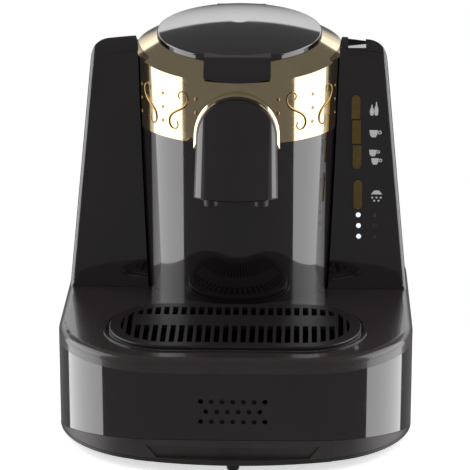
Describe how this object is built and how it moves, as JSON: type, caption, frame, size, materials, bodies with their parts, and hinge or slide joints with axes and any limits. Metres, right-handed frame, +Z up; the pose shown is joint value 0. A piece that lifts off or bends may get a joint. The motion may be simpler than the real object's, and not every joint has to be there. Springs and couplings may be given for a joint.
{
  "type": "electric coffee maker",
  "caption": "Countertop electric Turkish coffee maker with tilt-up lid, arched spout, push buttons, lift-out cup grille and drip tray, waste drawer and removable water tank.",
  "frame": {"origin": "on the table under the middle of the machine's bounding box", "axes": "+Z up, +X to the right seen from the front, the front with the spout faces -Y"},
  "size_m": [0.276, 0.295, 0.3038],
  "materials": {
    "black_abs": "glossy black moulded ABS",
    "satin_black": "satin dark grey moulded ABS",
    "gold": "champagne gold metallised ABS",
    "trim_silver": "bright metallised trim",
    "button_gold": "dark olive gold metallised buttons",
    "steel": "brushed stainless steel",
    "aluminium": "cast aluminium",
    "silicone": "silicone rubber",
    "foot_rubber": "black rubber",
    "inner_plastic": "black inner plastic",
    "clear_tank": "smoked clear plastic",
    "board": "glass fibre circuit board",
    "lens": "frosted clear plastic",
    "sensor": "dark infrared window",
    "copper": "copper winding and steel core"
  },
  "bodies": {
    "housing": {"bottom_plate": "inner_plastic", "base_screws": "steel", "front_foot": "foot_rubber", "front_left_foot": "foot_rubber", "front_right_foot": "foot_rubber", "rear_left_foot": "foot_rubber", "rear_right_foot": "foot_rubber", "front_skirt": "black_abs", "left_skirt": "black_abs", "right_skirt": "black_abs", "rear_skirt": "black_abs", "cord_gland": "foot_rubber", "speaker": "inner_plastic", "deck_shell": "black_abs", "left_tower": "black_abs", "right_tower": "black_abs", "left_panel": "black_abs", "control_panel": "black_abs", "indicator_lenses": "lens", "control_board": "board", "button_switches": "inner_plastic", "left_cap": "black_abs", "tank_dock": "inner_plastic", "column_shell": "black_abs", "rear_cover": "black_abs", "head_band": "gold", "cup_sensor": "sensor", "lid_hinge_ears": "black_abs", "lid_hinge_pin": "steel", "head_insert": "inner_plastic", "brew_chamber": "steel", "heater_plate": "aluminium", "outlet_valve": "inner_plastic", "outlet_tube": "silicone", "spout_cover": "black_abs", "spout_trim": "trim_silver", "spout_collar": "gold", "spout_body": "inner_plastic", "nozzles": "inner_plastic", "water_pump": "inner_plastic", "supply_tube": "silicone", "feed_tube": "silicone", "power_board": "board", "transformer": "copper"},
    "lid": {"lid_shell": "black_abs", "lid_liner": "inner_plastic", "lid_seal": "silicone"},
    "waste_drawer": {"drawer_front": "satin_black", "waste_tank": "inner_plastic"},
    "tray": {"drip_tray": "black_abs"},
    "grille": {"cup_grille": "satin_black"},
    "tank": {"water_tank": "clear_tank", "tank_valve": "silicone"},
    "cap": {"tank_cap": "black_abs"},
    "slow_brew": {"slow_brew_button": "button_gold"},
    "one_cup": {"one_cup_button": "button_gold"},
    "two_cup": {"two_cup_button": "button_gold"},
    "rinse": {"rinse_button": "button_gold"}
  },
  "joints": [
    {"name": "lid_hinge", "type": "hinge", "parent": "housing", "child": "lid", "pos_m": [0, 0.13933, 0.29585], "axis": [-1, 0, 0], "range_deg": [0, 95]},
    {"name": "drawer_slide", "type": "slide", "parent": "housing", "child": "waste_drawer", "axis": [0, -1, 0], "range_m": [0, 0.11]},
    {"name": "tray_lift", "type": "slide", "parent": "housing", "child": "tray", "axis": [0, 0, 1], "range_m": [0, 0.06]},
    {"name": "grille_lift", "type": "slide", "parent": "tray", "child": "grille", "axis": [0, 0, 1], "range_m": [0, 0.02]},
    {"name": "tank_lift", "type": "slide", "parent": "housing", "child": "tank", "axis": [0, 0, 1], "range_m": [0, 0.19]},
    {"name": "cap_lift", "type": "slide", "parent": "tank", "child": "cap", "axis": [0, 0, 1], "range_m": [0, 0.03]},
    {"name": "slow_brew_press", "type": "slide", "parent": "housing", "child": "slow_brew", "axis": [0, 0.9961, -0.0885], "range_m": [0, 0.0012], "stiffness_N_per_m": 400},
    {"name": "one_cup_press", "type": "slide", "parent": "housing", "child": "one_cup", "axis": [0, 0.9961, -0.0885], "range_m": [0, 0.0012], "stiffness_N_per_m": 400},
    {"name": "two_cup_press", "type": "slide", "parent": "housing", "child": "two_cup", "axis": [0, 0.9961, -0.0885], "range_m": [0, 0.0012], "stiffness_N_per_m": 400},
    {"name": "rinse_press", "type": "slide", "parent": "housing", "child": "rinse", "axis": [0, 0.9961, -0.0885], "range_m": [0, 0.0012], "stiffness_N_per_m": 400}
  ]
}
